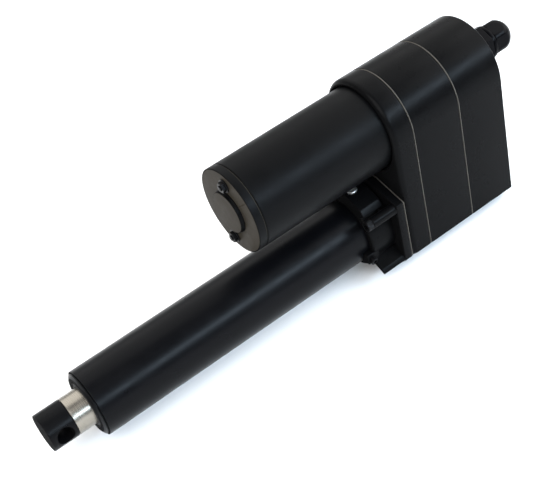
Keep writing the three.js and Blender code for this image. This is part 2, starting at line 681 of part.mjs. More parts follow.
function addClampScrews() {
  const { x, y, top, radius, headR } = CLAMP_SCREW;
  const socket = prism(polygonRing(0, 0, 0.5 * headR, 6), -1.6, 1.6)
    .rotate([0, 90, 0]).translate([x, y, top + 2.6]);
  const head = uprightRod(x, y, top + GAP, top + 2.8, headR);
  add("clamp_screw", cut(join(head, uprightRod(x, y, 28, top + 1, radius)), socket), "zinc_screw");

  const { angle, seat } = LOCK_SCREW;
  const rise = seat / Math.cos(angle) + 1.2;
  add("lock_screw", join(radialRod(LOCK_SCREW.x, angle, rise, rise + 1.8, LOCK_SCREW.headR),
    radialRod(LOCK_SCREW.x, angle, TUBE_R + 0.8, rise + 1, LOCK_SCREW.radius)), "black_screw");
}

// ---- rear clevis and cable gland

const TONGUE_Y = 11; // half width and half height of the clevis tongue
const TONGUE_Z = 12;

function addRearClevis() {
  const tongue = join(
    block(0, 20, -TONGUE_Y, TONGUE_Y, -TONGUE_Z, TONGUE_Z),
    crossRod(0, 0, -TONGUE_Y, TONGUE_Y, TONGUE_Z, ROUND));
  const seat = HOUSING_FLOOR + GAP;
  const cup = rod(seat, 37, 20, ROUND);
  add("rear_clevis", cut(join(tongue, cup),
    crossRod(0, 0, -TONGUE_Y - 1, TONGUE_Y + 1, PIN_R),
    rod(THRUST_BEARING.x[0] - 0.3, 38, THRUST_BEARING.radius + GAP, ROUND),
    rod(21.5, 38, 9, ROUND)), "black_paint");
}

function glandHexagon(radius, x0, x1) {
  return prism(polygonRing(0, GLAND_Z, radius, 6, GLAND_CORNER), x0, x1);
}

function addGland() {
  const seat = GLAND_SEAT - GAP;
  const nutRear = seat - 8;
  const threadEnd = seat - 16;
  const threadPart = rod(threadEnd, 20, GLAND_THREAD_R, ROUND, 0, GLAND_Z);
  add("gland_body", cut(join(glandHexagon(14.4, nutRear, seat), threadPart),
    rod(threadEnd - 4, 24, GLAND_BORE_R, SMALL, 0, GLAND_Z)), "black_plastic");

  // Cap nut: a round collar, then a hexagon under a dome, with the cable's hole in its end.
  const start = nutRear - GAP;
  const domeStart = seat - 19.2;
  const end = seat - 30.2;
  const dome = [20, 40, 62].map((degrees) => {
    const angle = THREE.MathUtils.degToRad(degrees);
    return [domeStart - GLAND_CAP_R * Math.sin(angle), GLAND_CAP_R * Math.cos(angle)];
  });
  const body = turned([[start, 0], [start, GLAND_CAP_R], [domeStart, GLAND_CAP_R], ...dome, [end, 0]],
    ROUND, 0, GLAND_Z);
  const collar = rod(start - 3, start, GLAND_CAP_R + 0.5, ROUND, 0, GLAND_Z);
  const socket = turned([
    [start + 1, 0], [start + 1, GLAND_THREAD_R + GAP], [threadEnd - GAP, GLAND_THREAD_R + GAP],
    [seat - 26, GLAND_BORE_R], [end - 1, GLAND_BORE_R], [end - 1, 0],
  ], ROUND, 0, GLAND_Z);
  add("gland_cap_nut", cut(join(collar, body.intersect(glandHexagon(13.2, end - 1, start))), socket),
    "black_plastic");
  add("gland_seal", ring(seat - 20.5, threadEnd - GAP, 5.9, GLAND_BORE_R, SMALL, 0, GLAND_Z), "rubber");
}

function addTerminalBlock() {
  add("terminal_block", block(20, 32, -9, 9, 97, 106), "nylon");
}

addTube();
addRod();
addLimitSwitches();
addScrew();
addIdler();
addMotor();
addHousing();
addBracketGasket();
addBracket();
addRearClevis();
addGland();
addTerminalBlock();

export default actuator;
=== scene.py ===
"""Looks of a linear actuator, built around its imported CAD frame.

Every length is in metres, in the CAD frame: X forward along the rod, Z up from the screw axis to
the motor axis. Places and sizes come from the frame's boxes; MM turns a millimetre into metres.
"""
import json
import math

import bmesh
import bpy
from mathutils import Matrix, Vector


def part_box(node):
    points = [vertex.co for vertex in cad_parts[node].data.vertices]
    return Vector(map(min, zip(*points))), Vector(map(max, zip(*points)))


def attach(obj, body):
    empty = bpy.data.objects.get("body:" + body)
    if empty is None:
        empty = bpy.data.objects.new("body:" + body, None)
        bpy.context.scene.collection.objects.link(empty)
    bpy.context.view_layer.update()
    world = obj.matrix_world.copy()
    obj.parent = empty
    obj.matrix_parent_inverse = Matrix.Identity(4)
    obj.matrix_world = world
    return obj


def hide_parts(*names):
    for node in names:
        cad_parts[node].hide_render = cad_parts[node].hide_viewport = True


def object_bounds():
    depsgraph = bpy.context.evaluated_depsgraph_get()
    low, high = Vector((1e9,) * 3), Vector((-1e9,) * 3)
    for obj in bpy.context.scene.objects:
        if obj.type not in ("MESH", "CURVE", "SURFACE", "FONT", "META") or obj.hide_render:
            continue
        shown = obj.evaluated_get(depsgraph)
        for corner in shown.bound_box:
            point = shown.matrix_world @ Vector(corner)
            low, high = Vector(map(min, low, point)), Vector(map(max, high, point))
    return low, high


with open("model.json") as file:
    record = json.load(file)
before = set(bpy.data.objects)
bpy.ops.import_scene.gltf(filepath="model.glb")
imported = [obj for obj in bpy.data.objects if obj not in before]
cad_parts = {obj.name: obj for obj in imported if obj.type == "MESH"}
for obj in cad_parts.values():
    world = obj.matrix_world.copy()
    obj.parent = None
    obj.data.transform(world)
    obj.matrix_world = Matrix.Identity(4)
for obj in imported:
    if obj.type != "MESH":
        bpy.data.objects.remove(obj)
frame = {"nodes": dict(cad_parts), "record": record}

CAD_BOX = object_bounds()
MM = 0.001
TURN = 2 * math.pi
ROUND = 128  # sides of the large turned pieces
FINE = 64  # sides of screws and other small ones
GAP = 0.3 * MM  # clearance between neighbouring pieces, as in the CAD
PIN_HOLE = 6.5 * MM  # radius of the cross holes at both ends


# ------------------------------------------------------------------ node helpers

def new_material(name):
    material = bpy.data.materials.new(name)
    material.use_nodes = True
    material.node_tree.nodes.clear()
    return material


class Nodes:
    """Short calls that add shader nodes to one material and link them."""

    def __init__(self, material):
        self.tree = material.node_tree
        source = self.add("ShaderNodeTexCoord")
        self.coords = source.outputs["Object"]
        self.normal = source.outputs["Normal"]

    def add(self, kind, **settings):
        node = self.tree.nodes.new(kind)
        for name, value in settings.items():
            setattr(node, name, value)
        return node

    def link(self, source, target):
        self.tree.links.new(source, target)

    def scaled(self, scale):
        """Object coordinates stretched by scale, one number for each axis."""
        mapping = self.add("ShaderNodeMapping")
        mapping.inputs["Scale"].default_value = scale
        self.link(self.coords, mapping.inputs["Vector"])
        return mapping.outputs["Vector"]

    def noise(self, scale, detail=3.0, stretch=None, roughness=0.5):
        node = self.add("ShaderNodeTexNoise")
        node.inputs["Scale"].default_value = scale
        node.inputs["Detail"].default_value = detail
        node.inputs["Roughness"].default_value = roughness
        self.link(self.scaled(stretch) if stretch else self.coords, node.inputs["Vector"])
        return node.outputs["Fac"]

    def specks(self, scale, size):
        """1 inside small scattered dots, 0 elsewhere."""
        cells = self.add("ShaderNodeTexVoronoi")
        cells.inputs["Scale"].default_value = scale
        self.link(self.coords, cells.inputs["Vector"])
        return self.ramp(cells.outputs["Distance"], size, size * 0.6, 0.0, 1.0)

    def ramp(self, value, from_low, from_high, to_low, to_high):
        node = self.add("ShaderNodeMapRange")
        node.inputs["From Min"].default_value = from_low
        node.inputs["From Max"].default_value = from_high
        node.inputs["To Min"].default_value = to_low
        node.inputs["To Max"].default_value = to_high
        self.link(value, node.inputs["Value"])
        return node.outputs["Result"]

    def blend(self, factor, low, high):
        """Colour that goes from low to high with factor."""
        node = self.add("ShaderNodeMix", data_type="RGBA")
        node.inputs["A"].default_value = (*low, 1.0)
        node.inputs["B"].default_value = (*high, 1.0)
        self.link(factor, node.inputs["Factor"])
        return node.outputs["Result"]

    def math(self, operation, a, b):
        node = self.add("ShaderNodeMath", operation=operation)
        self.link(a, node.inputs[0])
        self.link(b, node.inputs[1])
        return node.outputs["Value"]

    def multiply(self, a, b):
        return self.math("MULTIPLY", a, b)

    def front_faces(self):
        """1 on faces that look along +X, 0 elsewhere."""
        split = self.add("ShaderNodeSeparateXYZ")
        self.link(self.normal, split.inputs["Vector"])
        return self.ramp(split.outputs["X"], 0.8, 0.97, 0.0, 1.0)

    def bump(self, height, distance, strength=1.0, normal=None):
        node = self.add("ShaderNodeBump")
        node.inputs["Strength"].default_value = strength
        node.inputs["Distance"].default_value = distance
        self.link(height, node.inputs["Height"])
        if normal:
            self.link(normal, node.inputs["Normal"])
        return node.outputs["Normal"]

    def surface(self, color=None, roughness=None, normal=None, **fixed):
        """Principled shader; linked sockets are given as outputs, constants as plain values."""
        shader = self.add("ShaderNodeBsdfPrincipled")
        for socket, value in fixed.items():
            shader.inputs[socket.replace("_", " ")].default_value = value
        for socket, source in (("Base Color", color), ("Roughness", roughness), ("Normal", normal)):
            if source is not None:
                self.link(source, shader.inputs[socket])
        output = self.add("ShaderNodeOutputMaterial")
        self.link(shader.outputs["BSDF"], output.inputs["Surface"])
        return shader


# ------------------------------------------------------------------ materials

def black_paint(name, low, high, rough_low, rough_high, grain, grain_height, specular, dust=0.25):
    """Black paint: uneven colour and gloss, a fine skin, a little dust, and duller front faces."""
    material = new_material(name)
    n = Nodes(material)
    cloud = n.noise(22, 5)
    color = n.blend(cloud, low, high)
    lint = n.add("ShaderNodeMix", data_type="RGBA")
    n.link(n.multiply(n.specks(420, 0.055), n.ramp(n.noise(35, 2), 0.55, 0.75, 0.0, dust)),
           lint.inputs["Factor"])
    n.link(color, lint.inputs["A"])
    lint.inputs["B"].default_value = (0.04, 0.038, 0.035, 1.0)
    gloss = n.ramp(n.noise(70, 6), 0.3, 0.7, rough_low, rough_high)
    roughness = n.math("MAXIMUM", gloss, n.multiply(n.front_faces(), n.ramp(cloud, 0.3, 0.7, 0.85, 0.95)))
    skin = n.bump(n.noise(grain, 4, roughness=0.6), grain_height, 0.6)
    wave = n.bump(n.noise(160, 2), 0.00004, 0.35, normal=skin)
    n.surface(lint.outputs["Result"], roughness, wave, Specular_IOR_Level=specular)
    return material


def tube_paint(name):
    return black_paint(name, (0.0012, 0.0013, 0.0018), (0.0022, 0.0023, 0.003),
                       0.27, 0.36, 2600, 0.00002, 0.08)


def housing_paint(name):
    return black_paint(name, (0.0016, 0.0016, 0.0018), (0.0028, 0.0028, 0.003),
                       0.25, 0.35, 1900, 0.00003, 0.044, dust=0.04)


def motor_paint(name):
    return black_paint(name, (0.0014, 0.0015, 0.0017), (0.0024, 0.0025, 0.0028),
                       0.36, 0.46, 2200, 0.00003, 0.054)


def rod_end_coating(name):
    return black_paint(name, (0.0022, 0.0022, 0.0025), (0.0036, 0.0036, 0.004),
                       0.26, 0.36, 1700, 0.00003, 0.055)


def motor_cap_paint(name):
    """Matt warm grey lacquer on a casting."""
    material = new_material(name)
    n = Nodes(material)
    cloud = n.noise(55, 4)
    color = n.blend(cloud, (0.026, 0.022, 0.0165), (0.036, 0.031, 0.024))
    roughness = n.ramp(n.noise(120, 4), 0.3, 0.7, 0.36, 0.48)
    n.surface(color, roughness, n.bump(n.noise(1500, 4), 0.00004, 0.6), Specular_IOR_Level=0.03)
    return material


def turned_metal(name, low, high, rough_low, rough_high, pitch=2600, depth=0.00001):
    """Metal with the fine rings that turning leaves around the X axis."""
    material = new_material(name)
    n = Nodes(material)
    rings = n.noise(1, 6, stretch=(pitch, 6, 6), roughness=0.7)
    stain = n.noise(38, 4)
    color = n.blend(stain, low, high)
    roughness = n.ramp(n.multiply(rings, stain), 0.1, 0.4, rough_low, rough_high)
    n.surface(color, roughness, n.bump(rings, depth, 0.5), Metallic=1.0)
    return material


def polished_steel(name):
    return turned_metal(name, (0.24, 0.22, 0.185), (0.32, 0.295, 0.255), 0.24, 0.36, 1800)


def steel(name):
    return turned_metal(name, (0.42, 0.42, 0.42), (0.58, 0.58, 0.57), 0.24, 0.42)


def zinc_screw(name):
    return turned_metal(name, (0.5, 0.5, 0.48), (0.68, 0.68, 0.67), 0.25, 0.45, 900)


def bronze(name):
    return turned_metal(name, (0.42, 0.25, 0.1), (0.56, 0.36, 0.17), 0.28, 0.45)


def copper(name):
    return turned_metal(name, (0.5, 0.22, 0.12), (0.64, 0.33, 0.2), 0.25, 0.4)


def black_screw(name):
    """Blackened steel with a thin film of oil."""
    material = new_material(name)
    n = Nodes(material)
    film = n.noise(260, 4)
    color = n.blend(film, (0.004, 0.004, 0.005), (0.008, 0.008, 0.008))
    roughness = n.ramp(film, 0.3, 0.7, 0.28, 0.48)
    n.surface(color, roughness, n.bump(n.noise(3200, 3), 0.00002, 0.5), Metallic=0.5,
              Specular_IOR_Level=0.12)
    return material


def moulded(name, low, high, rough_low, rough_high, grain=1800, specular=0.45):
    """Moulded plastic with a fine spark-eroded grain."""
    material = new_material(name)
    n = Nodes(material)
    color = n.blend(n.noise(50, 3), low, high)
    roughness = n.ramp(n.noise(240, 4), 0.3, 0.7, rough_low, rough_high)
    n.surface(color, roughness, n.bump(n.noise(grain, 5), 0.00003, 0.6), Specular_IOR_Level=specular)
    return material


def black_plastic(name):
    return moulded(name, (0.0014, 0.0014, 0.0018), (0.0024, 0.0024, 0.003), 0.18, 0.28, specular=0.03)


def nylon(name):
    return moulded(name, (0.62, 0.58, 0.49), (0.72, 0.69, 0.61), 0.4, 0.55)


def rubber(name):
    return moulded(name, (0.012, 0.012, 0.012), (0.022, 0.021, 0.02), 0.6, 0.8, 900, 0.3)


def gasket(name):
    """Pressed fibre gasket: tan, with darker fibres."""
    material = new_material(name)
    n = Nodes(material)
    fibre = n.noise(900, 6, roughness=0.7)
    color = n.blend(fibre, (0.045, 0.04, 0.033), (0.1, 0.089, 0.074))
    n.surface(color, n.ramp(fibre, 0.3, 0.7, 0.75, 0.95), n.bump(fibre, 0.00005, 0.8))
    return material


def ferrite(name):
    return moulded(name, (0.04, 0.04, 0.043), (0.07, 0.07, 0.074), 0.55, 0.75, 700, 0.3)


MATERIALS = {maker.__name__: maker(maker.__name__) for maker in (
    tube_paint, housing_paint, motor_paint, motor_cap_paint, rod_end_coating, polished_steel, steel,
    zinc_screw, bronze, copper, black_screw, black_plastic, nylon, rubber, gasket, ferrite)}

SLOT_OF = {part["node"]: part["material_slot"] for part in frame["record"]["subparts"]}
BODY_OF = {node: body for body, nodes in frame["record"]["behaviour"]["bodies"].items() for node in nodes}


# ------------------------------------------------------------------ mesh helpers

def new_object(name, bm):
    """Turns a bmesh into an object, with doubled points merged and faces turned outwards."""
    bmesh.ops.remove_doubles(bm, verts=bm.verts, dist=1e-7)
    bmesh.ops.recalc_face_normals(bm, faces=bm.faces)
    mesh = bpy.data.meshes.new(name)
    bm.to_mesh(mesh)
    bm.free()
    obj = bpy.data.objects.new(name, mesh)
    bpy.context.scene.collection.objects.link(obj)
    return obj


def shade(obj, sharp_degrees=32):
    """Smooth shading with a crease wherever two faces meet at more than the angle."""
    for polygon in obj.data.polygons:
        polygon.use_smooth = True
    obj.data.set_sharp_from_angle(angle=math.radians(sharp_degrees))
    return obj


def applied(obj):
    """The object with its modifiers made real."""
    bpy.context.view_layer.update()
    evaluated = obj.evaluated_get(bpy.context.evaluated_depsgraph_get())
    mesh = bpy.data.meshes.new_from_object(evaluated)
    obj.modifiers.clear()
    obj.data = mesh
    return obj


def combine(obj, tools, operation):
    """Boolean of obj with each tool in turn; the tools are used up."""
    for tool in tools:
        modifier = obj.modifiers.new("boolean", "BOOLEAN")
        modifier.operation = operation
        modifier.solver = "EXACT"
        modifier.object = tool
        applied(obj)
        bpy.data.objects.remove(tool)
    return obj


def cut(obj, *tools):
    return combine(obj, tools, "DIFFERENCE")


def join(obj, *tools):
    return combine(obj, tools, "UNION")


def bevelled(obj, width, segments=3, degrees=30):
    """Rounds every edge that is sharper than the angle."""
    modifier = obj.modifiers.new("bevel", "BEVEL")
    modifier.width = width
    modifier.segments = segments
    modifier.limit_method = "ANGLE"
    modifier.angle_limit = math.radians(degrees)
    modifier.harden_normals = False
    return applied(obj)


def rounded(points, radius, steps=5):
    """A closed outline with each corner rounded; short edges get a smaller radius."""
    result = []
    count = len(points)
    for i, point in enumerate(points):
        here = Vector(point)
        before = Vector(points[i - 1]) - here
        after = Vector(points[(i + 1) % count]) - here
        if before.angle(after, math.pi) > math.radians(172):
            result.append(tuple(here))
            continue
        reach = min(radius, 0.45 * before.length, 0.45 * after.length)
        start = here + before.normalized() * reach
        end = here + after.normalized() * reach
        for k in range(steps + 1):
            t = k / steps
            result.append(tuple(start * (1 - t) ** 2 + here * (2 * t * (1 - t)) + end * t * t))
    return result


def lathe(name, profile, sides=ROUND, y=0.0, z=0.0):
    """Solid of revolution about the line (y, z) along X; profile is a closed list of (x, radius)."""
    bm = bmesh.new()
    rings = []
    for x, radius in profile:
        if radius < 1e-7:
            rings.append([bm.verts.new((x, y, z))] * sides)
            continue
        rings.append([bm.verts.new((x, y + radius * math.cos(TURN * k / sides),
                                    z + radius * math.sin(TURN * k / sides))) for k in range(sides)])
    for i, ring in enumerate(rings):
        following = rings[(i + 1) % len(rings)]
        for k in range(sides):
            corners = [ring[k], ring[(k + 1) % sides], following[(k + 1) % sides], following[k]]
            unique = list(dict.fromkeys(corners))
            if len(unique) > 2:
                bm.faces.new(unique)
    return new_object(name, bm)


def round_bar(name, x0, x1, radius, edge, y=0.0, z=0.0, sides=FINE):
    """Solid cylinder along X with rounded ends."""
    shape = rounded([(x0, radius), (x1, radius), (x1, -radius), (x0, -radius)], edge)
    half = [(x, r) for x, r in shape if r >= 0]
    return lathe(name, [(x0, 0.0), *sorted_profile(half, x0, x1), (x1, 0.0)], sides, y, z)


def sorted_profile(points, x0, x1):
    """Upper half of a rounded rectangle, from its x0 end to its x1 end."""
    middle = (x0 + x1) / 2
    left = sorted((p for p in points if p[0] < middle), key=lambda p: (p[0], p[1]))
    right = sorted((p for p in points if p[0] >= middle), key=lambda p: (p[0], -p[1]))
    return left + right


def ring_bar(name, x0, x1, outer, inner, edge, y=0.0, z=0.0, sides=ROUND):
    """Tube along X with rounded edges."""
    return lathe(name, rounded([(x0, inner), (x0, outer), (x1, outer), (x1, inner)], edge), sides, y, z)


def loft(name, sections):
    """Closed solid through sections (x, outline); every outline has the same number of points."""
    bm = bmesh.new()
    rings = [[bm.verts.new((x, y, z)) for y, z in outline] for x, outline in sections]
    for ring, following in zip(rings, rings[1:]):
        for k in range(len(ring)):
            after = (k + 1) % len(ring)
            bm.faces.new((ring[k], ring[after], following[after], following[k]))
    bm.faces.new(rings[0])
    bm.faces.new(rings[-1])
    return new_object(name, bm)


def prism(name, outline, x0, x1):
    """Straight bar along X with the outline as its section."""
    return loft(name, [(x0, outline), (x1, outline)])


def polygon(sides, radius, y=0.0, z=0.0):
    """Corners of a regular polygon round (y, z)."""
    angles = [TURN * k / sides for k in range(sides)]
    return [(y + radius * math.cos(a), z + radius * math.sin(a)) for a in angles]


def scaled_outline(points_mm, side=1):
    """Points given in millimetres, in metres; side -1 mirrors them to the far side."""
    return [(side * y * MM, z * MM) for y, z in points_mm]


def mirrored(right):
    """Closed outline made of its +Y half and the mirror image of that half."""
    return right + [(-y, z) for y, z in reversed(right)]


def turn_about_y(obj):
    """Lays a piece drawn along X along Y instead."""
    obj.data.transform(Matrix.Rotation(math.pi / 2, 4, "Z"))
    return obj


def dress(obj, *nodes, slot=None, sharp=32):
    """Gives a finished piece its material, body and place in the CAD tree."""
    slot_name = slot or SLOT_OF[nodes[0]]
    obj.data.materials.clear()
    obj.data.materials.append(MATERIALS[slot_name])
    shade(obj, sharp)
    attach(obj, BODY_OF[nodes[0]])
    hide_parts(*nodes)
    return obj


def middle(node):
    """Centre of a CAD node's box."""
    low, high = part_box(node)
    return (low + high) / 2


def pocket(node, x0, x1):
    """Round cutter from x0 to x1 that clears the bearing or cup of that name."""
    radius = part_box(node)[1].y + GAP
    return round_bar("pocket", x0, x1, radius, 0.1 * MM, z=middle(node).z)


# ------------------------------------------------------------------ tube and rod

def build_tube():
    low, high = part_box("outer_tube")
    inside = high.z - 4 * MM
    tube = lathe("tube", rounded([
        (low.x, inside), (low.x, high.z), (high.x, high.z), (high.x, inside)], 0.35 * MM))
    dress(tube, "outer_tube")
    build_guide(high.x, inside)
    build_wiper()


def build_guide(tube_end, tube_inside):
    """The guide's flange covers the tube's end, then steps in to a chamfered nose."""
    low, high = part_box("front_guide")
    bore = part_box("extension_rod")[1].z + GAP
    seal_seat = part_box("rod_wiper_seal")[1].z + GAP
    nose = tube_end + GAP
    seal_rear = nose - 4 * MM
    flange = high.z
    spigot = tube_inside - GAP
    guide = lathe("guide", rounded([
        (low.x, bore), (low.x, spigot), (nose, spigot), (nose, flange), (nose + 0.8 * MM, flange),
        (high.x, flange - 2.5 * MM), (high.x, seal_seat), (seal_rear, seal_seat), (seal_rear, bore)],
        0.25 * MM))
    dress(guide, "front_guide")


def build_wiper():
    """Seal ring whose front ends in two lips with a groove between them."""
    low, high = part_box("rod_wiper_seal")
    radius = high.z
    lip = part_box("extension_rod")[1].z + 0.12 * MM
    groove = high.x - 0.9 * MM
    seal = lathe("wiper", rounded([
        (low.x, lip), (low.x, radius), (groove, radius), (high.x - 0.2 * MM, radius - 0.9 * MM),
        (groove, lip + 0.9 * MM), (high.x, lip + 0.3 * MM), (high.x, lip)], 0.15 * MM))
    dress(seal, "rod_wiper_seal")


def build_rod():
    low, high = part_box("extension_rod")
    radius = high.z
    bore = radius - 3.2 * MM
    rod = lathe("rod", rounded([
        (low.x, bore), (low.x, radius), (high.x, radius), (high.x, bore)], 0.3 * MM))
    dress(rod, "extension_rod")

    # The end piece sits in the rod's bore on a spigot and has the cross hole.
    cap_low, cap_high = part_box("rod_end_cap")
    joint = high.x + GAP
    spigot = bore - GAP
    profile = rounded([
        (cap_low.x, -spigot), (cap_low.x, spigot), (joint, spigot), (joint, radius),
        (cap_high.x, radius), (cap_high.x, -radius), (joint, -radius), (joint, -spigot)], 0.7 * MM, 6)
    upper = [p for p in profile if p[1] > 1e-9]
    cap = lathe("rod_end", [(cap_low.x, 0.0), *upper, (cap_high.x, 0.0)])
    drill = turn_about_y(round_bar("drill", -2 * radius, 2 * radius, PIN_HOLE, 0.1 * MM))
    drill.data.transform(Matrix.Translation((cap_high.x - 10.4 * MM, 0, 0)))
    cut(cap, drill)
    bevelled(cap, 0.45 * MM, 3, 40)
    dress(cap, "rod_end_cap")


# ------------------------------------------------------------------ motor

def build_motor():
    low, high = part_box("motor_can")
    z = middle("motor_can").z
    radius = high.z - z
    inside = radius - 2.5 * MM
    edge = 0.8 * MM
    can = lathe("motor", rounded([
        (low.x, inside), (low.x, radius), (high.x - edge, radius), (high.x, radius - edge),
        (high.x, inside)], 0.3 * MM), z=z)
    dress(can, "motor_can")
    build_motor_cap(high.x + 0.4 * MM, radius, z)
    for place in ("top", "bottom"):
        build_motor_screw(f"motor_screw_{place}")


def build_motor_cap(rear, radius, z):
    """The cap's two faces are light; its rim is painted as the can is, and so is the side of its boss,
    whose black also stands partly for the shade that side falls in (painted shade).
    """
    low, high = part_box("motor_end_cap")
    face = high.x - 3 * MM
    rim = radius - 0.7 * MM
    boss = 16 * MM
    disc = round_bar("motor_cap", low.x, face, rim, 0.4 * MM, z=z, sides=ROUND)
    raised = round_bar("motor_boss", face - MM, high.x, boss - 0.5 * MM, 0.3 * MM, z=z, sides=ROUND)
    cap = join(disc, raised)
    cut(cap, pocket("motor_rear_bearing", low.x - MM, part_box("motor_rear_bearing")[1].x + GAP))
    dress(cap, "motor_end_cap")

    band = ring_bar("motor_cap_band", rear, face - 0.05 * MM, radius, rim - 1.2 * MM, 0.45 * MM, z=z)
    inner = boss - 1.2 * MM
    top = high.x - 0.1 * MM
    # The side of the boss is black partly as painted shade: the black ring also stands for the dark that
    # side shows under the lights.
    boss_side_black_and_shade = lathe("motor_boss_side_black_and_shade", rounded([
        (face - 0.2 * MM, inner), (face - 0.2 * MM, boss + 0.4 * MM), (face + 0.9 * MM, boss + 0.3 * MM),
        (face + 1.1 * MM, boss), (top, boss - 0.2 * MM), (top, inner)], 0.25 * MM), z=z)
    for piece in (band, boss_side_black_and_shade):
        dress(piece, "motor_end_cap", slot="motor_paint")


def build_motor_screw(node):
    """Washer, hexagon head with a domed top, and the end of the stud standing out of it."""
    low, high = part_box(node)
    _, y, z = middle(node)
    washer_radius = (high.y - low.y) / 2
    face = high.x - 4.4 * MM
    washer = round_bar("washer", face, face + 0.9 * MM, washer_radius, 0.3 * MM, y, z)
    head = domed_hexagon("head", face + 0.8 * MM, high.x - 1.1 * MM, 4.1 * MM, y, z)
    stud = round_bar("stud", low.x, high.x, 2 * MM, 0.4 * MM, y, z)
    dress(join(washer, head, stud), node)


def hexagon_outline(flat, limit, y, z, corner=0.0, sides=120):
    """Hexagon with the given half width across flats, its corners cut round at limit."""
    points = []
    for k in range(sides):
        angle = TURN * k / sides
        within = (angle - corner) % (math.pi / 3) - math.pi / 6
        reach = min(flat / math.cos(within), limit)
        points.append((y + reach * math.cos(angle), z + reach * math.sin(angle)))
    return points


def domed_hexagon(name, x0, x1, radius, y, z, dome=0.6 * MM, corner=0.0):
    """Hexagon bar whose corners are rounded off at both ends, as a nut's are."""
    flat = radius * math.cos(math.pi / 6)
    end_radius = 0.97 * flat
    steps = 5
    sections = []
    for end, direction in ((x0, 1), (x1, -1)):
        ramp = []
        for k in range(steps + 1):
            turn = math.pi / 2 * k / steps
            limit = end_radius + (radius - end_radius) * math.sin(turn)
            ramp.append((end + direction * dome * (1 - math.cos(turn)),
                         hexagon_outline(flat, limit, y, z, corner)))
        sections += ramp if direction > 0 else reversed(ramp)
    return loft(name, sections)


# ------------------------------------------------------------------ housing

ARC_STEPS = 48  # facets of the dome over the motor
CHAMFER_ACROSS = 10.5 * MM  # chamfer at the foot of the housing and the bracket's flange
CHAMFER_UP = 10 * MM
SEAM_EDGE = 0.35 * MM  # rounding of the slabs where they meet
CASE_WALL = 3.2 * MM
BOLTS = sorted(node for node in SLOT_OF if node.startswith("housing_bolt"))


def housing_outline(inset=0.0):
    """Housing section moved in by inset: round over the motor, flat sides, chamfered foot."""
    low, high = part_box("gear_case")
    half = high.y
    axis = high.z - half
    reach = half - inset
    slope = inset * math.tan(math.pi / 8)
    right = [(half - CHAMFER_ACROSS - slope, low.z + inset), (reach, low.z + CHAMFER_UP + slope)]
    arc = [math.pi * k / ARC_STEPS for k in range(ARC_STEPS + 1)]
    dome = [(reach * math.cos(a), axis + reach * math.sin(a)) for a in arc]
    return right + dome + [(-y, z) for y, z in reversed(right)]


def flange_outline(inset=0.0):
    """Flange of the tube bracket: the housing's foot and sides, then sloping shoulders."""
    low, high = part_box("tube_bracket")
    half = high.y - inset
    floor = low.z + inset
    return mirrored([
        (half - CHAMFER_ACROSS, floor), (half, floor + CHAMFER_UP),
        (half, 28.3 * MM - inset), (9 * MM, 37 * MM - inset)])


def housing_back():
    """X of the rear cover's flat back; the bolt heads are sunk a little below it."""
    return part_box("housing_bolt_top_left")[0].x - 0.6 * MM


def slab(name, x0, x1, rear_edge, front_edge, steps=8):
    """Housing slab whose rear and front edges are rounded by the given radii."""
    turns = [math.pi / 2 * k / steps for k in range(steps + 1)]
    rear = [(x0 + rear_edge * (1 - math.cos(t)), housing_outline(rear_edge * (1 - math.sin(t))))
            for t in turns]
    front = [(x1 - front_edge * (1 - math.sin(t)), housing_outline(front_edge * (1 - math.cos(t))))
             for t in turns]
    return loft(name, rear + front)


def hollowed(obj, x0, x1):
    """Cuts the gear cavity through a housing piece, leaving a wall all round."""
    return cut(obj, prism("cavity", housing_outline(CASE_WALL), x0, x1))


def build_front_plate():
    """Front slab with a round seat for the motor, and bores for the two bearings behind it."""
    low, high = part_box("housing_front_plate")
    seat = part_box("motor_can")[0].x - GAP
    seat_radius = 34 * MM
    plate = slab("front_plate", low.x, high.x, SEAM_EDGE, 4.3 * MM)
    cut(plate, round_bar("motor_seat", seat, high.x + 5 * MM, seat_radius, 0.1 * MM,
                         z=middle("motor_can").z, sides=ROUND))
    bearings = ("screw_front_bearing", "motor_front_bearing")
    cut(plate, *(pocket(bearing, low.x - MM, high.x + MM) for bearing in bearings))
    dress(plate, "housing_front_plate")


def build_gear_case():
    low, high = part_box("gear_case")
    case = slab("case", low.x, high.x, SEAM_EDGE, SEAM_EDGE)
    dress(hollowed(case, low.x - MM, high.x + MM), "gear_case")


def build_rear_cover():
    """Rear slab with the gland's boss, the clevis's slot and counterbores for the bolts."""
    low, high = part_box("rear_cover")
    back = housing_back()
    gland_z = middle("gland_cap_nut").z
    cover = slab("cover", back, high.x, 1.0 * MM, SEAM_EDGE)
    join(cover, round_bar("gland_boss", low.x, back + 3 * MM, 14.5 * MM, 0.8 * MM, z=gland_z))
    slot_y = 11.3 * MM
    slot_z = 12.3 * MM
    slot = [(-slot_y, -slot_z), (slot_y, -slot_z), (slot_y, slot_z), (-slot_y, slot_z)]
    cutters = [
        prism("slot", rounded(slot, 1.0 * MM), back - MM, back + 6 * MM),
        round_bar("gland_hole", low.x - MM, low.x + 14 * MM, 8.3 * MM, 0.1 * MM, z=gland_z),
        pocket("rear_clevis", back + 5 * MM, high.x + MM)]
    for node in BOLTS:
        _, y, z = middle(node)
        cutters.append(round_bar("counterbore", back - MM, back + 5.5 * MM, 4.5 * MM, 0.1 * MM, y, z))
    cut(cover, *cutters)
    dress(cover, "rear_cover")


def build_gaskets():
    # Each gasket sits against the piece behind it; the gap in front of it stays open.
    for node in ("gasket_front", "gasket_rear"):
        low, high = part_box(node)
        rear = low.x - 0.28 * MM
        sheet = prism(f"{node}_edge", housing_outline(0.25 * MM), rear, rear + 0.5 * MM)
        dress(hollowed(sheet, low.x - MM, high.x + MM), node)
    low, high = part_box("gasket_bracket")
    sheet = prism("bracket_gasket", flange_outline(0.2 * MM), low.x - 0.1 * MM, high.x - 0.25 * MM)
    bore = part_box("outer_tube")[1].z + GAP
    cut(sheet, round_bar("bore", low.x - MM, high.x + MM, bore, 0.05 * MM, sides=ROUND))
    dress(sheet, "gasket_bracket")


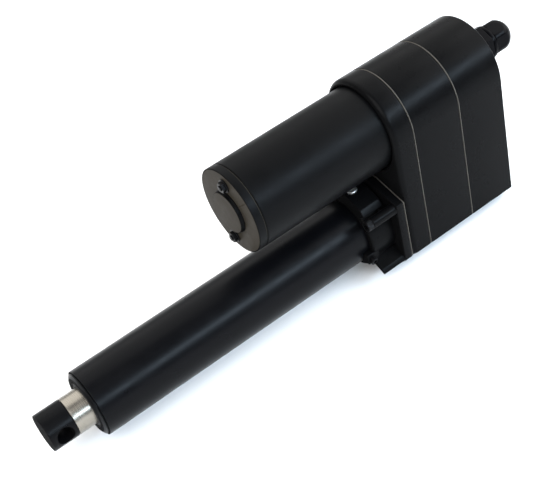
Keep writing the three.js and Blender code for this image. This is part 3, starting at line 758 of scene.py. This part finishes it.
# ------------------------------------------------------------------ socket cap screws

def knurled_outline(radius, depth, y, z, knurls):
    """Circle with shallow grooves of the given depth round it."""
    points = []
    for k in range(knurls * 4):
        groove = 0.5 - 0.5 * math.cos(TURN * k / 4)
        reach = radius - depth * groove
        angle = TURN * k / (knurls * 4)
        points.append((y + reach * math.cos(angle), z + reach * math.sin(angle)))
    return points


def cap_screw_head(name, x0, x1, radius, y, z, knurls=36):
    """Socket cap screw head from x0 to x1: knurled side, rounded rim, hexagon socket at x1."""
    direction = 1 if x1 > x0 else -1
    length = abs(x1 - x0)
    edge = 0.45 * MM
    knurled = knurled_outline(radius, 0.16 * MM, y, z, knurls)
    smooth = knurled_outline(radius, 0, y, z, knurls)
    sections = [(x0, knurled), (x0 + direction * (length - 3 * edge), knurled),
                (x0 + direction * (length - 2.6 * edge), smooth)]
    steps = 5
    for k in range(steps + 1):
        t = math.pi / 2 * k / steps
        x = x1 - direction * edge * (1 - math.sin(t))
        sections.append((x, knurled_outline(radius - edge * (1 - math.cos(t)), 0, y, z, knurls)))
    head = loft(name, sections)
    flats = polygon(6, radius * 0.52, y, z)
    socket = prism("socket", flats, x1 - direction * 0.55 * length, x1 + direction * MM)
    return cut(head, socket)


def build_cap_screw(node, head_ends, shank_ends):
    """Whole screw along X, with a head as wide as the CAD one and its socket at the second end."""
    low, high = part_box(node)
    _, y, z = middle(node)
    head = cap_screw_head(f"{node}_head", *head_ends, (high.y - low.y) / 2, y, z)
    shank = round_bar("shank", *shank_ends, 2.4 * MM, 0.4 * MM, y, z)
    dress(join(head, shank), node)


def build_bolts():
    """The housing bolts go in from the rear."""
    for node in BOLTS:
        low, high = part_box(node)
        under_head = low.x + 4.5 * MM
        build_cap_screw(node, (under_head, low.x), (under_head - MM, high.x))


def build_bracket_screws():
    """The bracket's screws go in from the front."""
    for row in ("upper", "lower"):
        for hand in ("left", "right"):
            node = f"bracket_screw_{row}_{hand}"
            low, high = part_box(node)
            build_cap_screw(node, (high.x - 4.8 * MM, high.x), (low.x, high.x - 4 * MM))


def build_clamp_screw():
    """Screw in the top of the clamp block, made along X and stood upright."""
    low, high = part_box("clamp_screw")
    centre = middle("clamp_screw")
    head = cap_screw_head("clamp_head", -2.6 * MM, -1.0 * MM, (high.y - low.y) / 2, 0, 0)
    shank = round_bar("shank", low.z - high.z, -2 * MM, 1.9 * MM, 0.3 * MM)
    screw = join(head, shank)
    place = Matrix.Translation((centre.x, centre.y, high.z))
    screw.data.transform(place @ Matrix.Rotation(-math.pi / 2, 4, "Y"))
    dress(screw, "clamp_screw")


LOCK_TILT = -0.33  # radians from level, so that the lock screw points at the tube's axis


def build_lock_screw():
    """Screw in the bracket's lug, made along X and turned towards the tube."""
    low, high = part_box("lock_screw")
    radius = (high.x - low.x) / 2
    top = (high.y + radius * math.sin(LOCK_TILT)) / math.cos(LOCK_TILT)
    tip = 25.8 * MM  # from the tube's axis, just clear of the tube
    head = cap_screw_head("lock_head", -1.8 * MM, 0, radius, 0, 0, knurls=24)
    shank = round_bar("shank", tip - top, -MM, 1.8 * MM, 0.3 * MM)
    screw = join(head, shank)
    place = Matrix.Translation((
        middle("lock_screw").x, top * math.cos(LOCK_TILT), top * math.sin(LOCK_TILT)))
    turn = Matrix.Rotation(LOCK_TILT, 4, "X") @ Matrix.Rotation(math.pi / 2, 4, "Z")
    screw.data.transform(place @ turn)
    dress(screw, "lock_screw")


# ------------------------------------------------------------------ tube bracket

def bracket_collar(x0, x1):
    """Ring round the tube; the bore is cut through it later."""
    radius = 29.8 * MM
    inside = 10 * MM
    return lathe("collar", rounded([
        (x0, inside), (x0, radius), (x1 - 1.0 * MM, radius), (x1, radius - 1.2 * MM), (x1, inside)],
        0.6 * MM))


def bracket_block(x0, x1):
    """Clamp block on top of the collar, with sloping shoulders."""
    half_mm = [(10, 22), (18, 20), (25, 24.8), (21.5, 29.8), (10, 35.5)]
    outline = rounded(mirrored(scaled_outline(half_mm)), 0.9 * MM, 4)
    return bevelled(prism("block", outline, x0, x1), 0.6 * MM, 3)


def bracket_boss(side, x0, x1):
    """Boss of an upper screw."""
    screw = middle("bracket_screw_upper_left")
    return round_bar("boss", x0, x1, 4.2 * MM, 0.5 * MM, side * screw.y, screw.z)


def bracket_tie(side, x0, x1):
    """Wall between a boss and the collar."""
    tie_mm = [(20, 16.5), (33, 20.3), (33, 24), (20, 24)]
    return prism("tie", scaled_outline(tie_mm, side), x0, x1)


def bracket_web(side, x0, x1):
    """Lower web that runs out to the flange's corner."""
    web_mm = [(24, -11.5), (24, -15.5), (37.0, -22.7), (37.4, -21.9), (35.4, -18.9)]
    outline = rounded(scaled_outline(web_mm, side), 0.3 * MM, 3)
    return bevelled(prism("web", outline, x0, x1), 0.5 * MM, 3, 40)


def bracket_lug(x0, x1):
    """Small lug for the lock screw, on the +Y side alone."""
    lug_mm = [(20, -13.5), (29.5, -13.5), (29.5, -5), (20, -5)]
    outline = rounded(scaled_outline(lug_mm), 0.7 * MM, 4)
    return bevelled(prism("lug", outline, x0, x1), 0.4 * MM, 3, 40)


def build_bracket():
    low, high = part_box("tube_bracket")
    head_height = 5.1 * MM  # of its screws, from the seat
    flange_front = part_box("bracket_screw_lower_left")[1].x - head_height
    boss_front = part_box("bracket_screw_upper_left")[1].x - head_height
    rear = low.x + MM
    plate = prism("bracket", rounded(flange_outline(), 0.8 * MM, 4), low.x, flange_front)
    bevelled(plate, 0.5 * MM, 3)

    pieces = [bracket_collar(rear, boss_front), bracket_block(120.5 * MM, boss_front)]
    for side in (1, -1):
        pieces.append(bracket_boss(side, rear, boss_front))
        pieces.append(bracket_tie(side, rear, 124 * MM))
        pieces.append(bracket_web(side, flange_front - MM, boss_front))
    pieces.append(bracket_lug(boss_front - 4 * MM, high.x))
    join(plate, *pieces)
    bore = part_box("outer_tube")[1].z + 0.25 * MM
    cut(plate, round_bar("bore", low.x - MM, high.x + 5 * MM, bore, 0.05 * MM, sides=ROUND))
    dress(plate, "tube_bracket")


# ------------------------------------------------------------------ rear clevis and gland

def build_clevis():
    """Tongue with a round eye behind the housing, on a cup that holds the thrust bearing."""
    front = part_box("rear_clevis")[1].x
    half = 11 * MM
    eye = 12 * MM
    root = 16 * MM
    arc = [math.pi / 2 + math.pi * k / 32 for k in range(33)]
    outline = [(eye * math.cos(a), eye * math.sin(a)) for a in arc] + [(root, -eye), (root, eye)]
    bm = bmesh.new()
    sides = [[bm.verts.new((x, y, z)) for x, z in outline] for y in (-half, half)]
    for k in range(len(outline)):
        after = (k + 1) % len(outline)
        bm.faces.new((sides[0][k], sides[0][after], sides[1][after], sides[1][k]))
    for side in sides:
        bm.faces.new(side)
    tongue = new_object("clevis", bm)
    cut(tongue, turn_about_y(round_bar("drill", -2 * half, 2 * half, PIN_HOLE, 0.1 * MM)))
    bevelled(tongue, 0.7 * MM, 3, 40)
    cup = round_bar("cup", housing_back() + 5.3 * MM, front, 20 * MM, 0.5 * MM)
    cup_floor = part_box("lead_screw")[0].x - GAP
    cut(join(tongue, cup), pocket("thrust_bearing", cup_floor, front + MM))
    dress(tongue, "rear_clevis")


GLAND_CORNER = math.radians(36.5)  # turn of both hexagons about the gland's axis
GLAND_BORE = 4.5 * MM


def build_gland():
    z = middle("gland_cap_nut").z
    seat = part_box("rear_cover")[0].x - GAP
    build_gland_body(seat, z)
    build_gland_cap(seat, z)


def build_gland_body(seat, z):
    """Hexagon against the housing's boss, on a thread that also carries the cap nut."""
    rear = seat - 8 * MM
    body = domed_hexagon("gland_nut", rear, seat, 14.4 * MM, 0, z, 1.0 * MM, GLAND_CORNER)
    join(body, round_bar("gland_thread", seat - 16 * MM, 20 * MM, 7.9 * MM, 0.5 * MM, z=z))
    cut(body, round_bar("bore", rear - 10 * MM, 30 * MM, GLAND_BORE, 0.1 * MM, z=z))
    dress(body, "gland_body")


def build_gland_cap(seat, z):
    """Cap nut: a round collar, a groove, then a hexagon that ends in a dome."""
    low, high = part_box("gland_cap_nut")
    collar = high.z - z
    body = collar - 0.5 * MM
    flat = 13.2 * MM * math.cos(math.pi / 6)
    uncut = collar + MM  # flats wider than the collar, so that none shows on it
    groove_flat = flat - 0.5 * MM
    groove = body - 0.7 * MM
    # Millimetres back from the front of the collar, half width over the flats, radius.
    profile = [
        (0.0, uncut, collar - 0.5 * MM), (0.15, uncut, collar - 0.15 * MM), (0.5, uncut, collar),
        (2.5, uncut, collar), (2.85, uncut, collar - 0.15 * MM), (3.0, uncut, collar - 0.5 * MM),
        (3.2, groove_flat, groove), (3.6, groove_flat, groove),
        (3.9, flat, body - 0.1 * MM), (4.3, flat, body), (8.0, flat, body)]
    sections = [(high.x - back * MM, hexagon_outline(width, limit, 0, z, GLAND_CORNER))
                for back, width, limit in profile]
    dome_start = seat - 19.2 * MM
    lip = 0.5 * MM
    sweep = math.asin((dome_start - low.x - lip) / body)
    steps = 14
    for k in range(steps + 1):
        turn = sweep * k / steps
        sections.append((dome_start - body * math.sin(turn),
                         hexagon_outline(flat, body * math.cos(turn), 0, z, GLAND_CORNER)))
    mouth = body * math.cos(sweep)
    sections.append((low.x + 0.1 * MM, hexagon_outline(flat, mouth - 0.5 * MM, 0, z)))
    sections.append((low.x, hexagon_outline(flat, mouth - 1.0 * MM, 0, z)))
    cap = loft("gland_cap", sections)
    cut(cap, round_bar("bore", low.x - MM, high.x + MM, GLAND_BORE, 0.1 * MM, z=z),
        round_bar("socket", seat - 16.3 * MM, high.x + MM, 8.3 * MM, 0.1 * MM, z=z))
    dress(cap, "gland_cap_nut")


# ------------------------------------------------------------------ stage, light and camera

FLOOR_REACH = 6.0  # from the origin to each side of the floor


def build_stage():
    """Plain pale paper floor under the lowest point."""
    corners = [(-1, -1), (1, -1), (1, 1), (-1, 1)]
    floor_z = CAD_BOX[0].z
    bm = bmesh.new()
    bm.faces.new([bm.verts.new((x * FLOOR_REACH, y * FLOOR_REACH, floor_z)) for x, y in corners])
    floor = new_object("floor", bm)
    material = new_material("floor_paper")
    n = Nodes(material)
    color = n.blend(n.noise(3, 2), (0.88, 0.88, 0.88), (0.9, 0.9, 0.9))
    n.surface(color, n.ramp(n.noise(40, 3), 0.3, 0.7, 0.8, 0.9), Specular_IOR_Level=0.1)
    floor.data.materials.append(material)


def soft_light(name, direction, distance, width, height, power, color, target=(0.18, 0, 0.03)):
    """Rectangular soft box that stands in a direction from the target and faces it."""
    data = bpy.data.lights.new(name, "AREA")
    data.shape = "RECTANGLE"
    data.size = width
    data.size_y = height
    data.energy = power
    data.color = color
    light = bpy.data.objects.new(name, data)
    bpy.context.scene.collection.objects.link(light)
    towards = Vector(direction).normalized()
    light.location = Vector(target) + towards * distance
    light.rotation_mode = "QUATERNION"
    light.rotation_quaternion = towards.to_track_quat("Z", "Y")
    return light


def build_world():
    """Soft studio air: lighter overhead and behind the actuator, dimmer where its flank looks."""
    world = bpy.data.worlds.new("studio")
    bpy.context.scene.world = world
    world.use_nodes = True
    nodes = world.node_tree.nodes
    links = world.node_tree.links
    background = nodes["Background"]
    background.inputs["Color"].default_value = (0.98, 0.99, 1.0, 1.0)
    direction = nodes.new("ShaderNodeTexCoord")
    split = nodes.new("ShaderNodeSeparateXYZ")
    links.new(direction.outputs["Generated"], split.inputs["Vector"])

    def rise(axis, start, end, low, high):
        """Strength that goes from low to high while X, Y or Z of the direction goes start to end."""
        node = nodes.new("ShaderNodeMapRange")
        limits = {"From Min": start, "From Max": end, "To Min": low, "To Max": high}
        for socket, value in limits.items():
            node.inputs[socket].default_value = value
        links.new(split.outputs[axis], node.inputs["Value"])
        return node.outputs["Result"]

    total = nodes.new("ShaderNodeMath")
    total.operation = "ADD"
    links.new(rise("Z", 0.0, 0.5, 0.22, 0.36), total.inputs[0])
    links.new(rise("Y", -0.6, 0.2, 0.5, 0.0), total.inputs[1])
    links.new(total.outputs["Value"], background.inputs["Strength"])


def build_lights():
    # The side box draws the streak along the tube, motor and housing, the top box the soft upper
    # band. The two end boxes light the floor from directions that those surfaces don't mirror.
    soft_light("side_box", (-0.38, 0.82, 0.5), 1.45, 1.7, 0.22, 29, (0.68, 0.84, 1.0))
    soft_light("top_box", (-0.25, -0.5, 0.83), 2.0, 3.0, 2.4, 31, (1.0, 0.99, 0.97))
    soft_light("front_box", (0.62, 0.35, 0.7), 1.8, 1.6, 1.6, 32, (1.0, 1.0, 1.0))
    soft_light("rear_box", (-0.85, 0.2, 0.5), 1.8, 1.6, 1.6, 32, (1.0, 1.0, 1.0))


CAMERA_PLACE = Vector((0.4889, 0.5719, 0.5651))
CAMERA_TARGET = Vector((0.1975, 0.0, 0.03))
CAMERA_ROLL = 15.3  # degrees, clockwise seen from behind the camera
CAMERA_LENS = 77.5  # millimetres
CAMERA_SENSOR = 36.0  # millimetres wide
CAMERA_SHIFT = (0.0004, 0.0024)


def build_camera():
    data = bpy.data.cameras.new("camera")
    data.lens = CAMERA_LENS
    data.sensor_width = CAMERA_SENSOR
    data.shift_x, data.shift_y = CAMERA_SHIFT
    camera = bpy.data.objects.new("camera", data)
    bpy.context.scene.collection.objects.link(camera)
    towards = (CAMERA_TARGET - CAMERA_PLACE).normalized()
    camera.location = CAMERA_PLACE
    camera.rotation_mode = "QUATERNION"
    camera.rotation_quaternion = (
        towards.to_track_quat("-Z", "Y")
        @ Matrix.Rotation(math.radians(-CAMERA_ROLL), 3, "Z").to_quaternion())
    bpy.context.scene.camera = camera
    bpy.context.scene.view_settings.view_transform = "Standard"
    bpy.context.scene.view_settings.look = "None"


def paint_cad_nodes():
    """Materials for the CAD nodes; the hidden ones keep their CAD shape."""
    for name, obj in frame["nodes"].items():
        obj.data.materials.clear()
        obj.data.materials.append(MATERIALS[SLOT_OF[name]])


build_camera()
build_tube()
build_rod()
build_motor()
build_front_plate()
build_gear_case()
build_rear_cover()
build_gaskets()
build_bolts()
build_bracket()
build_bracket_screws()
build_clevis()
build_gland()
build_clamp_screw()
build_lock_screw()
paint_cad_nodes()
build_stage()
build_world()
build_lights()
